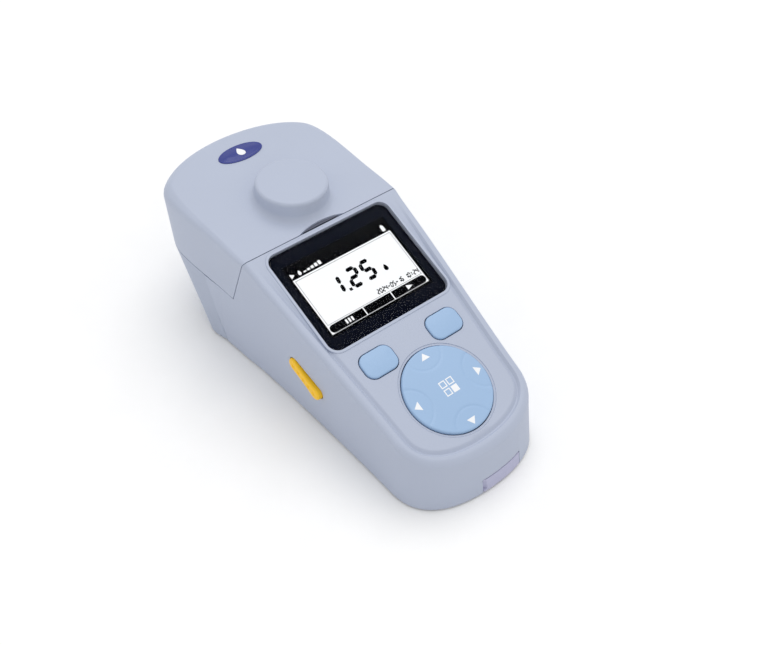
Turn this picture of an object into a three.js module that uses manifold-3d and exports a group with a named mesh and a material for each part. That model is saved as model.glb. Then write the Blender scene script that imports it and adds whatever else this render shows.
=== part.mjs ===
// Hand-held turbidity meter for pool water: a wedge-shaped two-piece case, a hinged hood over the
// sample well, a display, two soft keys, a rocking direction pad, a side power key and a port flap.
// Millimetres, +X to the user's right, +Y towards the hood, +Z up, origin on the ground at the middle.
import * as THREE from 'three';
import { mergeVertices } from 'three/addons/utils/BufferGeometryUtils.js';
import Module from 'manifold-3d';

const wasm = await Module();
wasm.setup();

// ---------------------------------------------------------------- driving dimensions
const PANEL_ANGLE = THREE.MathUtils.degToRad(20);
const PANEL_ORIGIN = new THREE.Vector3(0, -5.45, 59.9);
const PARTING_SLOPE = 30.1;
const FRONT_RIM_Y = -100;
const REAR_Y = 108.1;
const HALF_WIDTH = 45.7;
const HOOD_REFERENCE_Z = 62;
const FRONT_LEAN = 0.202;
const SIDE_LEAN = { level: -0.0505, slope: 0.0484, curve: 0.1338, from: 20, over: 95, until: 0.3 };
const REAR_LEAN = { upper: 0.22, lower: 1.088, from: 45 };

const FOOT_HEIGHT = 1;
const WALL = 2.6;
const PANEL_THICKNESS = 4.2;
const FLOOR_THICKNESS = 2.5;
const SEAM = 0.3;
const GAP = 0.3;
const HOOD_SEAM_Z = 38.5;
const HOOD_TOP_Z = 73;
const CROWN_RADIUS = 339;
const REAR_SEAM_FOOT_Y = 43;
const REAR_SEAM_SLOPE = 0.364;

const WINDOW = { width: 70, height: 55, radius: 5, thickness: 1.8 };
const SOFT_KEY = { x: 19.6, slope: -41.1, width: 20, height: 14, radius: 5, travel: 0.8 };
const PAD = { slope: -68.2, radius: 21.7, flange: 22.8 };
const BOARD_TOP = -11;
const BOARD_THICKNESS = 1.6;

const WELL = { y: 46.7, radius: 14, floor: 6, mouth: 60 };
const BOSS = { radius: 17.8, top: 81 };
const HINGE = { y: 103.7, z: 38.5, knuckle: 3, pin: 1.4, inner: 11.6, outer: 19 };
const POWER = { y: -18.4, z: 26.7, length: 24, height: 5, face: -41.6 };
const PORT = { left: -6, right: 19, top: 8.6, socketX: 6.5, socketZ: 5.3 };
const CASE_SCREWS = [[-33.2, -58], [33.2, -58], [-35.7, 19], [35.7, 19]];
const FEET = [[-22, -82], [22, -82], [-30, 50], [30, 50]];
const OPTICS_SCREWS = [[-27.5, WELL.y], [27.5, WELL.y]];
const DECK_SCREWS = [[-31, 72], [31, 72]];

const TAN = Math.tan(PANEL_ANGLE);
const COS = Math.cos(PANEL_ANGLE);
const SIN = Math.sin(PANEL_ANGLE);
const PARTING_Y = PANEL_ORIGIN.y + PARTING_SLOPE * COS;
const PARTING_Z = PANEL_ORIGIN.z + PARTING_SLOPE * SIN;
const BASE_Z = FOOT_HEIGHT;
const FLOOR_Z = BASE_Z + FLOOR_THICKNESS;

const FAR = 130;
const CENTRE_SHIFT = -1.8;

// ---------------------------------------------------------------- colours
const COLOURS = {
  shell: { color: 0xb4bdcf, roughness: 0.5, metalness: 0 },
  base: { color: 0xa3abbd, roughness: 0.55, metalness: 0 },
  key: { color: 0x9cb9db, roughness: 0.45, metalness: 0 },
  orange: { color: 0xebb724, roughness: 0.5, metalness: 0 },
  rubber: { color: 0xbabcd4, roughness: 0.7, metalness: 0 },
  black: { color: 0x111316, roughness: 0.6, metalness: 0 },
  glass: { color: 0x0a0e17, roughness: 0.08, metalness: 0 },
  board: { color: 0x1d6b3f, roughness: 0.6, metalness: 0 },
  steel: { color: 0xb9bcc0, roughness: 0.35, metalness: 1 },
  screen: { color: 0xf0f3f5, roughness: 0.4, metalness: 0 },
  badge: { color: 0x2d3c8c, roughness: 0.35, metalness: 0 },
  battery: { color: 0x2c62a8, roughness: 0.5, metalness: 0 },
};

const model = new THREE.Group();
const panel = new THREE.Group();
panel.position.copy(PANEL_ORIGIN);
panel.rotation.x = PANEL_ANGLE;
model.add(panel);

// ---------------------------------------------------------------- solid helpers
function toSolid(geometry) {
  const bare = geometry.clone();
  bare.deleteAttribute('normal');
  bare.deleteAttribute('uv');
  const merged = mergeVertices(bare, 1e-4);
  const mesh = new wasm.Mesh({
    numProp: 3,
    vertProperties: new Float32Array(merged.attributes.position.array),
    triVerts: new Uint32Array(merged.index.array),
  });
  return new wasm.Manifold(mesh);
}

function toGeometry(solid) {
  const mesh = solid.getMesh();
  const geometry = new THREE.BufferGeometry();
  geometry.setAttribute('position', new THREE.BufferAttribute(new Float32Array(mesh.vertProperties), 3));
  geometry.setIndex(new THREE.BufferAttribute(new Uint32Array(mesh.triVerts), 1));
  geometry.computeVertexNormals();
  return geometry;
}

function join(first, ...rest) {
  return toGeometry(rest.reduce((sum, part) => sum.add(toSolid(part)), toSolid(first)));
}

function cut(body, ...tools) {
  return toGeometry(tools.reduce((left, tool) => left.subtract(toSolid(tool)), toSolid(body)));
}

function common(first, ...rest) {
  return toGeometry(rest.reduce((left, part) => left.intersect(toSolid(part)), toSolid(first)));
}

function add(parent, name, geometry, finish) {
  const mesh = new THREE.Mesh(geometry, new THREE.MeshStandardMaterial(COLOURS[finish]));
  mesh.name = name;
  parent.add(mesh);
  return mesh;
}

// ---------------------------------------------------------------- plain shapes
function block(x0, x1, y0, y1, z0, z1) {
  const geometry = new THREE.BoxGeometry(x1 - x0, y1 - y0, z1 - z0);
  return geometry.translate((x0 + x1) / 2, (y0 + y1) / 2, (z0 + z1) / 2);
}

function rod(radius, z0, z1, x = 0, y = 0, sides = 24) {
  const geometry = new THREE.CylinderGeometry(radius, radius, z1 - z0, sides);
  return geometry.rotateX(Math.PI / 2).translate(x, y, (z0 + z1) / 2);
}

function rodAlongX(radius, x0, x1, y, z, sides = 24) {
  const geometry = new THREE.CylinderGeometry(radius, radius, x1 - x0, sides);
  return geometry.rotateZ(Math.PI / 2).translate((x0 + x1) / 2, y, z);
}

function rodAlongY(radius, y0, y1, x, z, sides = 24) {
  const geometry = new THREE.CylinderGeometry(radius, radius, y1 - y0, sides);
  return geometry.translate(x, (y0 + y1) / 2, z);
}

function roundedRectangle(width, height, radius) {
  const shape = new THREE.Shape();
  const x = width / 2 - radius;
  const y = height / 2 - radius;
  shape.absarc(x, y, radius, 0, Math.PI / 2);
  shape.absarc(-x, y, radius, Math.PI / 2, Math.PI);
  shape.absarc(-x, -y, radius, Math.PI, Math.PI * 1.5);
  shape.absarc(x, -y, radius, Math.PI * 1.5, Math.PI * 2);
  return shape;
}

function plate(shape, z0, z1, x = 0, y = 0, curveSegments = 5) {
  const geometry = new THREE.ExtrudeGeometry(shape, { depth: z1 - z0, bevelEnabled: false, curveSegments });
  return geometry.translate(x, y, z0);
}

function roundedPlate(width, height, radius, z0, z1, x = 0, y = 0) {
  return plate(roundedRectangle(width, height, radius), z0, z1, x, y);
}

// A side view outline in (y, z), extruded across the whole width.
function sideProfile(shape, x0 = -FAR, x1 = FAR, curveSegments = 10) {
  const geometry = new THREE.ExtrudeGeometry(shape, { depth: x1 - x0, bevelEnabled: false, curveSegments });
  const turn = new THREE.Matrix4().makeBasis(
    new THREE.Vector3(0, 1, 0),
    new THREE.Vector3(0, 0, 1),
    new THREE.Vector3(1, 0, 0),
  );
  return geometry.applyMatrix4(turn).translate(x0, 0, 0);
}

function polygon(points) {
  return new THREE.Shape(points.map(([a, b]) => new THREE.Vector2(a, b)));
}

function turned(profile, sides = 32) {
  const points = profile.map(([radius, height]) => new THREE.Vector2(radius, height));
  return new THREE.LatheGeometry(points, sides).rotateX(Math.PI / 2);
}

// Moves a shape drawn on the panel (x, up the slope, out of the surface) into the model frame.
function onPanel(geometry) {
  panel.updateMatrix();
  return geometry.applyMatrix4(panel.matrix);
}

// ---------------------------------------------------------------- outer body
const HALF_OUTLINE = [
  [[0, FRONT_RIM_Y], [20.9, FRONT_RIM_Y], [37, -93.4], [37.6, -77.2]],
  [[37.6, -77.2], [38.5, -55.4], [HALF_WIDTH, 7.1], [HALF_WIDTH, 40.9]],
  [[HALF_WIDTH, 40.9], [HALF_WIDTH, 59.2], [50.7, 84.4], [43.1, 92.5]],
  [[43.1, 92.5], [36.4, 99.7], [18.9, REAR_Y], [0, REAR_Y]],
].map((points) => new THREE.CubicBezierCurve(...points.map(([x, y]) => new THREE.Vector2(x, y))));
const STEPS = [9, 6, 6, 8];

function panelHeight(y) {
  return PANEL_ORIGIN.z + (y - PANEL_ORIGIN.y) * TAN;
}

// Stations round the reference outline, each with its outward normal.
function outlineStations() {
  const right = [];
  HALF_OUTLINE.forEach((curve, index) => {
    const first = index === 0 ? 0 : 1;
    for (let step = first; step <= STEPS[index]; step += 1) {
      const t = step / STEPS[index];
      const point = curve.getPoint(t);
      const tangent = curve.getTangent(t);
      right.push({ x: point.x, y: point.y, nx: tangent.y, ny: -tangent.x });
    }
  });
  const left = right.slice(1, -1).reverse();
  return right.concat(left.map(({ x, y, nx, ny }) => ({ x: -x, y, nx: -nx, ny })));
}

// How far the front and side walls move out for each millimetre further down.
function wallFlare({ y, nx, ny }) {
  const along = Math.min(SIDE_LEAN.until, (y - SIDE_LEAN.from) / SIDE_LEAN.over);
  const side = SIDE_LEAN.level + SIDE_LEAN.slope * along + SIDE_LEAN.curve * along * along;
  const front = ny < 0 ? FRONT_LEAN : 0;
  return side * nx * nx + front * ny * ny;
}

// The wall's outline at height z, drawn in by inset. The rear leans in a little down to the hood's lower
// edge and tucks in steeply below it.
function wallOutline(z, inset) {
  return outlineStations().map((station) => {
    const reference = station.y < PARTING_Y ? panelHeight(station.y) : HOOD_REFERENCE_Z;
    const drop = reference - z;
    const out = wallFlare(station) * drop - inset;
    const share = Math.max(0, (station.y - REAR_LEAN.from) / (REAR_Y - REAR_LEAN.from));
    const hoodDrop = Math.min(drop, HOOD_REFERENCE_Z - HOOD_SEAM_Z);
    const forward = (REAR_LEAN.upper * hoodDrop + REAR_LEAN.lower * (drop - hoodDrop)) * share;
    return new THREE.Vector2(station.x + station.nx * out, station.y + station.ny * out - forward);
  });
}

// A closed ruled solid through outlines with the same number of points, each given with its height.
function loft(levels) {
  const count = levels[0].outline.length;
  const positions = [];
  levels.forEach(({ outline, z }) => outline.forEach((point) => positions.push(point.x, point.y, z)));
  const index = [];
  for (let level = 1; level < levels.length; level += 1) {
    const low = (level - 1) * count;
    const high = level * count;
    for (let here = 0; here < count; here += 1) {
      const next = (here + 1) % count;
      index.push(low + here, low + next, high + next, low + here, high + next, high + here);
    }
  }
  const roof = (levels.length - 1) * count;
  THREE.ShapeUtils.triangulateShape(levels[0].outline, []).forEach(([a, b, c]) => index.push(a, c, b));
  THREE.ShapeUtils.triangulateShape(levels.at(-1).outline, []).forEach(([a, b, c]) => {
    index.push(roof + a, roof + b, roof + c);
  });
  const geometry = new THREE.BufferGeometry();
  geometry.setAttribute('position', new THREE.Float32BufferAttribute(positions, 3));
  geometry.setIndex(index);
  geometry.computeVertexNormals();
  return geometry;
}

function body(inset, z0, z1) {
  const heights = z0 < HOOD_SEAM_Z && z1 > HOOD_SEAM_Z ? [z0, HOOD_SEAM_Z, z1] : [z0, z1];
  return loft(heights.map((z) => ({ outline: wallOutline(z, inset), z })));
}

function straightBody(inset, outlineZ, z0, z1) {
  const outline = wallOutline(outlineZ, inset);
  return loft([{ outline, z: z0 }, { outline, z: z1 }]);
}

// The hood's front joint is square to the panel; shift moves it towards the rear.
function hoodSeamY(z, shift = 0) {
  return PARTING_Y + (PARTING_Z - z) * TAN + shift / COS;
}

function rearSeamY(z) {
  return REAR_SEAM_FOOT_Y + REAR_SEAM_SLOPE * z;
}

const UPPER_TOP_Z = HOOD_SEAM_Z - SEAM / 2;
const HOOD_BOTTOM_Z = HOOD_SEAM_Z + SEAM / 2;

function powerSlot(grow, x0, x1) {
  const shape = roundedRectangle(POWER.length + grow, POWER.height + grow, (POWER.height + grow) / 2 - 0.01);
  const slot = new THREE.ExtrudeGeometry(shape, { depth: x1 - x0, bevelEnabled: false, curveSegments: 6 });
  const turn = new THREE.Matrix4().makeBasis(
    new THREE.Vector3(0, COS, SIN),
    new THREE.Vector3(0, -SIN, COS),
    new THREE.Vector3(1, 0, 0),
  );
  return slot.applyMatrix4(turn).translate(x0, POWER.y, POWER.z);
}

// ---------------------------------------------------------------- upper case
function makeUpperCase() {
  const outside = common(body(0, BASE_Z, 92), sideProfile(polygon([
    [-FAR, BASE_Z],
    [rearSeamY(BASE_Z) - SEAM / 2, BASE_Z],
    [rearSeamY(UPPER_TOP_Z) - SEAM / 2, UPPER_TOP_Z],
    [hoodSeamY(UPPER_TOP_Z), UPPER_TOP_Z],
    [PARTING_Y, PARTING_Z],
    [-FAR, panelHeight(-FAR)],
  ])));
  const under = PANEL_THICKNESS / COS;
  const bulkhead = hoodSeamY(UPPER_TOP_Z, -WALL);
  const cornerZ = PARTING_Z - PANEL_THICKNESS * COS - WALL * SIN;
  const inside = common(body(WALL, -5, 92), sideProfile(polygon([
    [-FAR, -5],
    [80, -5],
    [80, UPPER_TOP_Z - 0.01],
    [80, UPPER_TOP_Z + 1],
    [bulkhead, UPPER_TOP_Z + 1],
    [hoodSeamY(cornerZ, -WALL), cornerZ],
    [-FAR, panelHeight(-FAR) - under],
  ])));
  const columns = CASE_SCREWS.map(([x, y]) => rod(3.4, FLOOR_Z + 0.5, 80, x, y, 16));
  const trimmed = columns.map((column) => common(column, outside));
  const shell = join(cut(outside, inside), ...trimmed);
  const tools = [
    onPanel(roundedPlate(WINDOW.width + 0.6, WINDOW.height + 0.6, WINDOW.radius + 0.3, -2.9, 5)),
    onPanel(roundedPlate(62, 46.5, 1.5, -10, 5, 0, -2.2)),
    onPanel(rod(PAD.radius + 0.5, -12, 5, 0, PAD.slope, 48)),
    onPanel(rod(PAD.flange + 0.6, -12, -PANEL_THICKNESS + 0.01, 0, PAD.slope, 32)),
    powerSlot(0.8, -60, -30),
    block(-25.5, 25.5, 24, 60, 0, 58.4),
  ];
  [-1, 1].forEach((side) => {
    const { x, slope, width, height, radius } = SOFT_KEY;
    tools.push(onPanel(roundedPlate(width + 0.8, height + 0.8, radius + 0.4, -10, 5, side * x, slope)));
  });
  CASE_SCREWS.forEach(([x, y]) => tools.push(rod(1.5, 0, 16, x, y, 12)));
  const skin = cut(body(-3, -2, 30), body(1.9, -3, 31));
  tools.push(common(skin, block(PORT.left, PORT.right, -FAR, -60, -1, PORT.top)));
  tools.push(block(PORT.socketX - 5.6, PORT.socketX + 5, -FAR, -88, PORT.socketZ - 2.3, PORT.socketZ + 2.3));
  return cut(shell, ...tools);
}

// ---------------------------------------------------------------- lower case
function makeLowerCase() {
  const rearRegion = sideProfile(polygon([
    [rearSeamY(BASE_Z) + SEAM / 2, BASE_Z],
    [FAR, BASE_Z],
    [FAR, UPPER_TOP_Z],
    [rearSeamY(UPPER_TOP_Z) + SEAM / 2, UPPER_TOP_Z],
  ]));
  const cup = cut(common(body(0, BASE_Z, 60), rearRegion), body(WALL, FLOOR_Z, 61));
  const knuckles = [];
  [-1, 1].forEach((side) => {
    const x0 = Math.min(side * (HINGE.inner + 0.4), side * HINGE.outer);
    const x1 = Math.max(side * (HINGE.inner + 0.4), side * HINGE.outer);
    knuckles.push(rodAlongX(HINGE.knuckle, x0, x1, HINGE.y, HINGE.z, 20));
    knuckles.push(block(x0, x1, HINGE.y - 6.7, HINGE.y, HINGE.z - 3.5, UPPER_TOP_Z));
  });
  const floor = straightBody(WALL + 0.6, BASE_Z, BASE_Z, FLOOR_Z);
  const ledge = block(-9, 9, -57.5, -50, FLOOR_Z - 0.2, FLOOR_Z + 2.2);
  const whole = join(cup, floor, ...knuckles);
  const tools = [
    block(-22.4, 22.4, -56.4, 15.4, 0, 10),
    rodAlongX(HINGE.pin + 0.3, -30, 30, HINGE.y, HINGE.z, 16),
    rodAlongX(HINGE.knuckle + 0.5, -HINGE.inner - 0.4, HINGE.inner + 0.4, HINGE.y, HINGE.z, 20),
  ];
  CASE_SCREWS.forEach(([x, y]) => {
    tools.push(rod(3.1, 0, 2.6, x, y, 16));
    tools.push(rod(1.6, 0, 10, x, y, 12));
  });
  FEET.forEach(([x, y]) => tools.push(rod(5.3, 0, 2.0, x, y, 24)));
  const opened = cut(whole, ...tools);
  return cut(join(opened, ledge), rod(1.5, 0, 10, 0, -53, 12));
}

// ---------------------------------------------------------------- hood over the sample well
function makeLid() {
  const side = new THREE.Shape();
  side.moveTo(hoodSeamY(HOOD_BOTTOM_Z, SEAM), HOOD_BOTTOM_Z);
  side.lineTo(FAR, HOOD_BOTTOM_Z);
  side.lineTo(FAR, 50);
  side.lineTo(REAR_Y + 1.5, 62);
  side.bezierCurveTo(REAR_Y - 0.6, 69.5, 101, 71.2, 84, 72.5);
  side.bezierCurveTo(76, 73, 67, HOOD_TOP_Z, 58, HOOD_TOP_Z);
  side.bezierCurveTo(46, HOOD_TOP_Z, 34, 72.4, PARTING_Y + SEAM, PARTING_Z);
  const crownShape = new THREE.Shape();
  const crownAngle = Math.asin(60 / CROWN_RADIUS);
  crownShape.absarc(0, HOOD_TOP_Z - CROWN_RADIUS, CROWN_RADIUS, Math.PI / 2 - crownAngle, Math.PI / 2 + crownAngle);
  crownShape.lineTo(-60, 0);
  crownShape.lineTo(60, 0);
  const crown = new THREE.ExtrudeGeometry(crownShape, { depth: 260, bevelEnabled: false, curveSegments: 20 });
  crown.rotateX(Math.PI / 2).translate(0, 130, 0);
  const outside = common(body(0, HOOD_BOTTOM_Z, 92), sideProfile(side), crown);
  const inside = common(body(WALL, 30, 92), sideProfile(polygon([
    [0, 30],
    [FAR, 30],
    [FAR, 50],
    [103, 60],
    [94, 67.2],
    [0, 67.2],
  ])));
  const web = block(-HINGE.inner, HINGE.inner, HINGE.y - 3, HINGE.y + 1, HINGE.z, HINGE.z + 8);
  const shell = join(
    cut(outside, inside),
    rod(BOSS.radius, 69, BOSS.top, 0, WELL.y, 48),
    rodAlongX(HINGE.knuckle, -HINGE.inner, HINGE.inner, HINGE.y, HINGE.z, 20),
    web,
  );
  const scallopRadius = 36.4;
  const tools = [
    rod(15.4, 50, BOSS.top - 2.6, 0, WELL.y, 32),
    rod(scallopRadius, 60, 90, 0, PARTING_Y + 2.8 - scallopRadius, 72),
    rodAlongX(HINGE.pin + 0.3, -30, 30, HINGE.y, HINGE.z, 16),
    ellipseRod(10.4, 5.4, 71.3, 90, 0, 88),
  ];
  [-1, 1].forEach((sign) => {
    const x0 = Math.min(sign * (HINGE.inner + 0.1), sign * (HINGE.outer + 0.5));
    const x1 = Math.max(sign * (HINGE.inner + 0.1), sign * (HINGE.outer + 0.5));
    tools.push(rodAlongX(HINGE.knuckle + 0.5, x0, x1, HINGE.y, HINGE.z, 20));
  });
  return cut(shell, ...tools);
}

function ellipseRod(halfX, halfY, z0, z1, x, y) {
  const shape = new THREE.Shape();
  shape.absellipse(0, 0, halfX, halfY, 0, Math.PI * 2);
  return plate(shape, z0, z1, x, y, 24);
}

add(model, 'upper_case', makeUpperCase(), 'shell');
add(model, 'lower_case', makeLowerCase(), 'base');
add(model, 'lid', makeLid(), 'shell');

// The black light shield inside the raised boss, an open cup seen from below.
add(model, 'lid_liner', cut(
  rod(15.1, 61.5, BOSS.top - 2.9, 0, WELL.y, 32),
  rod(14.0, 60, BOSS.top - 4.2, 0, WELL.y, 32),
), 'black');
add(model, 'lid_seal', cut(
  rod(19.6, WELL.mouth + 0.5, 66.9, 0, WELL.y, 32),
  rod(17.6, 50, 70, 0, WELL.y, 32),
), 'black');
add(model, 'lid_hinge_pin', rodAlongX(HINGE.pin, -HINGE.outer, HINGE.outer, HINGE.y, HINGE.z, 16), 'steel');
add(model, 'lid_badge', ellipseRod(10, 5, 71.6, 72.5, 0, 88), 'badge');

// ---------------------------------------------------------------- deck and optics under the hood
function makeWellDeck() {
  const outside = common(straightBody(4.2, 30, 30, WELL.mouth), sideProfile(polygon([
    [hoodSeamY(30, 0.8), 30],
    [FAR, 30],
    [FAR, 80],
    [hoodSeamY(80, 0.8), 80],
  ])));
  const inside = common(straightBody(6.4, 30, 20, WELL.mouth - 2.4), sideProfile(polygon([
    [0, 20],
    [FAR, 20],
    [FAR, 80],
    [0, 80],
  ])));
  const tools = [rod(WELL.radius + 0.4, 40, 80, 0, WELL.y, 32)];
  DECK_SCREWS.forEach(([x, y]) => tools.push(rod(1.6, 40, 80, x, y, 12)));
  const sleeves = DECK_SCREWS.map(([x, y]) => rod(3.2, 40, WELL.mouth - 2, x, y, 14));
  const notch = block(-FAR, FAR, 0, rearSeamY(UPPER_TOP_Z) + 1, 20, UPPER_TOP_Z + 0.6);
  return cut(join(cut(outside, inside), ...sleeves), ...tools, notch);
}

add(model, 'well_deck', makeWellDeck(), 'base');

const opticsFlange = block(-31, 31, WELL.y - 7, WELL.y + 7, FLOOR_Z + GAP, FLOOR_Z + 4);
const opticsTower = block(-24, 24, WELL.y - 16.4, WELL.y + 17, FLOOR_Z + GAP, 57.2);
const beamZ = 27;
add(model, 'optics_block', cut(
  common(join(opticsTower, opticsFlange), body(WALL + 0.5, FLOOR_Z, 60)),
  rod(WELL.radius, WELL.floor, 60, 0, WELL.y, 32),
  rodAlongX(2.2, -20, 20, WELL.y, beamZ, 12),
  rodAlongX(5.4, -30, -18.4, WELL.y, beamZ, 16),
  rodAlongX(5.4, 18.4, 30, WELL.y, beamZ, 16),
  rodAlongY(2.2, WELL.y, WELL.y + 20, 0, beamZ, 12),
  rodAlongY(4.4, WELL.y + 15.6, WELL.y + 30, 0, beamZ, 16),
  ...OPTICS_SCREWS.map(([x, y]) => rod(1.6, 0, 20, x, y, 12)),
), 'black');
add(model, 'well_collar', cut(
  rod(WELL.radius + 3, WELL.mouth + 0.3, WELL.mouth + 1.1, 0, WELL.y, 32),
  rod(WELL.radius, 50, 70, 0, WELL.y, 32),
), 'black');
add(model, 'lamp_module', rodAlongX(5, -31, -18.7, WELL.y, beamZ, 16), 'steel');
add(model, 'transmitted_detector', rodAlongX(5, 18.7, 29, WELL.y, beamZ, 16), 'black');
add(model, 'scatter_detector', rodAlongY(4, WELL.y + 15.9, WELL.y + 25, 0, beamZ, 16), 'black');
add(model, 'detector_board', block(-15, 15, WELL.y + 25.4, WELL.y + 27, 17, 42), 'board');

function machineScrew(headRadius, headHeight, shankRadius, length, sides = 14) {
  return turned([[0, 0], [headRadius, 0], [headRadius, headHeight], [shankRadius, headHeight],
    [shankRadius, headHeight + length], [0, headHeight + length]], sides);
}

// A screw whose head's outer face is at z, pointing up or, turned over, down.
function addScrew(name, x, y, z, { headRadius, headHeight, length, down }) {
  const screw = add(model, name, machineScrew(headRadius, headHeight, 1.2, length), 'steel');
  screw.position.set(x, y, z);
  screw.rotation.x = down ? Math.PI : 0;
}

OPTICS_SCREWS.forEach(([x, y], index) => {
  addScrew(`optics_screw_${index + 1}`, x, y, FLOOR_Z + 6.2, {
    headRadius: 2.6, headHeight: 1.8, length: 3.4, down: true,
  });
});
DECK_SCREWS.forEach(([x, y], index) => {
  addScrew(`deck_screw_${index + 1}`, x, y, WELL.mouth + 2.0, {
    headRadius: 2.8, headHeight: 1.7, length: 12, down: true,
  });
});
CASE_SCREWS.forEach(([x, y], index) => {
  addScrew(`case_screw_${index + 1}`, x, y, BASE_Z + 0.2, { headRadius: 2.7, headHeight: 1.2, length: 11 });
});

// ---------------------------------------------------------------- display stack and boards
add(panel, 'display_window', roundedPlate(WINDOW.width, WINDOW.height, WINDOW.radius, -1.9, -0.1), 'glass');
add(panel, 'display_gasket', cut(
  roundedPlate(WINDOW.width, WINDOW.height, WINDOW.radius, -2.6, -2.2),
  roundedPlate(63, 47.5, 1.5, -4, 0, 0, -2.2),
), 'black');
add(panel, 'lcd_module', block(-32, 32, -26, 21.4, -7.2, -4.5), 'screen');
add(panel, 'lcd_backlight', block(-32, 32, -26, 21.4, -9.6, -7.5), 'screen');

function makeMainBoard() {
  const outline = new THREE.Shape();
  outline.moveTo(-28, 20);
  outline.lineTo(-28, -72);
  outline.absarc(-10, -72, 18, Math.PI, Math.PI * 1.5);
  outline.absarc(10, -72, 18, Math.PI * 1.5, Math.PI * 2);
  outline.lineTo(28, 20);
  return plate(outline, BOARD_TOP - BOARD_THICKNESS, BOARD_TOP);
}

add(panel, 'main_board', makeMainBoard(), 'board');

add(panel, 'buzzer', rod(6, BOARD_TOP - 5, BOARD_TOP - BOARD_THICKNESS - GAP, 16, 4), 'black');
add(panel, 'clock_battery', rod(6.2, BOARD_TOP - 4.6, BOARD_TOP - BOARD_THICKNESS - GAP, -16, 4), 'steel');

// ---------------------------------------------------------------- keys
add(panel, 'keypad_mat', cut(
  roundedPlate(56, 26, 3, -8.1, -7.1, 0, SOFT_KEY.slope + 1),
  rod(PAD.flange + 1, -10, 0, 0, PAD.slope, 32),
), 'rubber');

[['left', -1], ['right', 1]].forEach(([word, side]) => {
  const x = side * SOFT_KEY.x;
  add(panel, `soft_key_${word}`, join(
    roundedPlate(SOFT_KEY.width, SOFT_KEY.height, SOFT_KEY.radius, -5.2, 1.2, x, SOFT_KEY.slope),
    roundedPlate(SOFT_KEY.width + 1.8, SOFT_KEY.height + 1.8, SOFT_KEY.radius + 0.9, -5.6, -4.5, x, SOFT_KEY.slope),
  ), 'key');
  add(panel, `switch_key_${word}`, block(x - 3, x + 3, SOFT_KEY.slope - 3, SOFT_KEY.slope + 3,
    BOARD_TOP + GAP, -8.4), 'black');
});

// The direction pad is one disc on a two-way rocker that also lets it be pressed straight down.
const padProfile = [[0, 1.2], [9, 1.5], [19.5, 1.7], [21.2, 1.2], [PAD.radius, 0.2], [PAD.radius, -5.7],
  [PAD.flange, -5.7], [PAD.flange, -6.5], [12, -6.5], [12, -3.5], [0, -3.5]];
add(panel, 'dpad', turned([...padProfile].reverse(), 48), 'key').position.y = PAD.slope;
add(panel, 'dpad_pivot', rod(9, -5.4, -4.2, 0, PAD.slope, 24), 'black');
add(panel, 'dpad_plunger', rod(4, -8.9, -5.8, 0, PAD.slope, 20), 'black');
add(panel, 'dpad_guide', cut(
  rod(6.6, BOARD_TOP + GAP, -7.2, 0, PAD.slope, 20),
  rod(4.4, -20, 0, 0, PAD.slope, 20),
), 'black');

const PAD_SWITCHES = { centre: [0, 0], up: [0, 1], down: [0, -1], left: [-1, 0], right: [1, 0] };
Object.entries(PAD_SWITCHES).forEach(([word, [x, y]]) => {
  const reach = 15;
  const half = word === 'centre' ? 2.6 : 3;
  const top = word === 'centre' ? -10 : -8.9;
  const cx = x * reach;
  const cy = PAD.slope + y * reach;
  add(panel, `switch_${word}`, block(cx - half, cx + half, cy - half, cy + half, BOARD_TOP + GAP, top), 'black');
});

// ---------------------------------------------------------------- power key on the left wall
add(model, 'power_button', join(
  powerSlot(0, POWER.face, POWER.face + 6.3),
  powerSlot(3, POWER.face + 5.5, POWER.face + 6.4),
), 'orange');
const switchFace = POWER.face + 7.7;
add(model, 'power_switch', block(switchFace, switchFace + 1.8, POWER.y - 3, POWER.y + 3,
  POWER.z - 3, POWER.z + 3), 'black');
add(model, 'power_board', block(switchFace + 2.2, switchFace + 3.6, POWER.y - 12, POWER.y + 12,
  POWER.z - 7, POWER.z + 5), 'board');

// ---------------------------------------------------------------- charging port
const flapSkin = cut(body(-0.2, 0.5, 30), body(1.5, -3, 31));
const flapFace = common(flapSkin, block(PORT.left + 0.4, PORT.right - 0.4, -FAR, -60, BASE_Z + 0.3, PORT.top - 0.4));
const flapPlug = common(
  block(PORT.socketX - 4.2, PORT.socketX + 4.2, -FAR, -100.3, PORT.socketZ - 1.4, PORT.socketZ + 1.4),
  body(1, -3, 31),
);
add(model, 'port_cover', join(flapFace, flapPlug), 'rubber');
add(model, 'usb_socket', block(PORT.socketX - 4.5, PORT.socketX + 4.5, -99.4, -92,
  PORT.socketZ - 1.5, PORT.socketZ + 1.6), 'steel');
add(model, 'charge_board', block(-9, 20, -94, -78, PORT.socketZ + 1.9, PORT.socketZ + 3.3), 'board');

// ---------------------------------------------------------------- battery, door and feet
add(model, 'battery_pack', join(
  rodAlongY(9.3, -49, 15, -9.2, 14.6, 20),
  rodAlongY(9.3, -49, 15, 9.2, 14.6, 20),
), 'battery');
add(model, 'battery_door', cut(
  block(-22, 22, -56, 15, BASE_Z, BASE_Z + 2),
  rod(2.7, 0, 2.2, 0, -53, 16),
  rod(1.5, 0, 5, 0, -53, 12),
), 'base');
addScrew('battery_door_screw', 0, -53, BASE_Z + 0.1, { headRadius: 2.3, headHeight: 1.0, length: 3.4 });

FEET.forEach(([x, y], index) => {
  add(model, `foot_${index + 1}`, rod(5, 0, 1.7, x, y, 24), 'black');
});

// The drawing's zero is on the pad's and window's own layout; this brings the whole length to the middle.
model.position.y = CENTRE_SHIFT;

export default model;
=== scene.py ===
# Hand-held turbidity meter: the finished surfaces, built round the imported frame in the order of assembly.
# Shapes are drawn in millimetres, as on a drawing, and brought to metres when each piece is finished.
import math

import bmesh
import bpy
import numpy as np
from mathutils import Matrix, Vector


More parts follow.
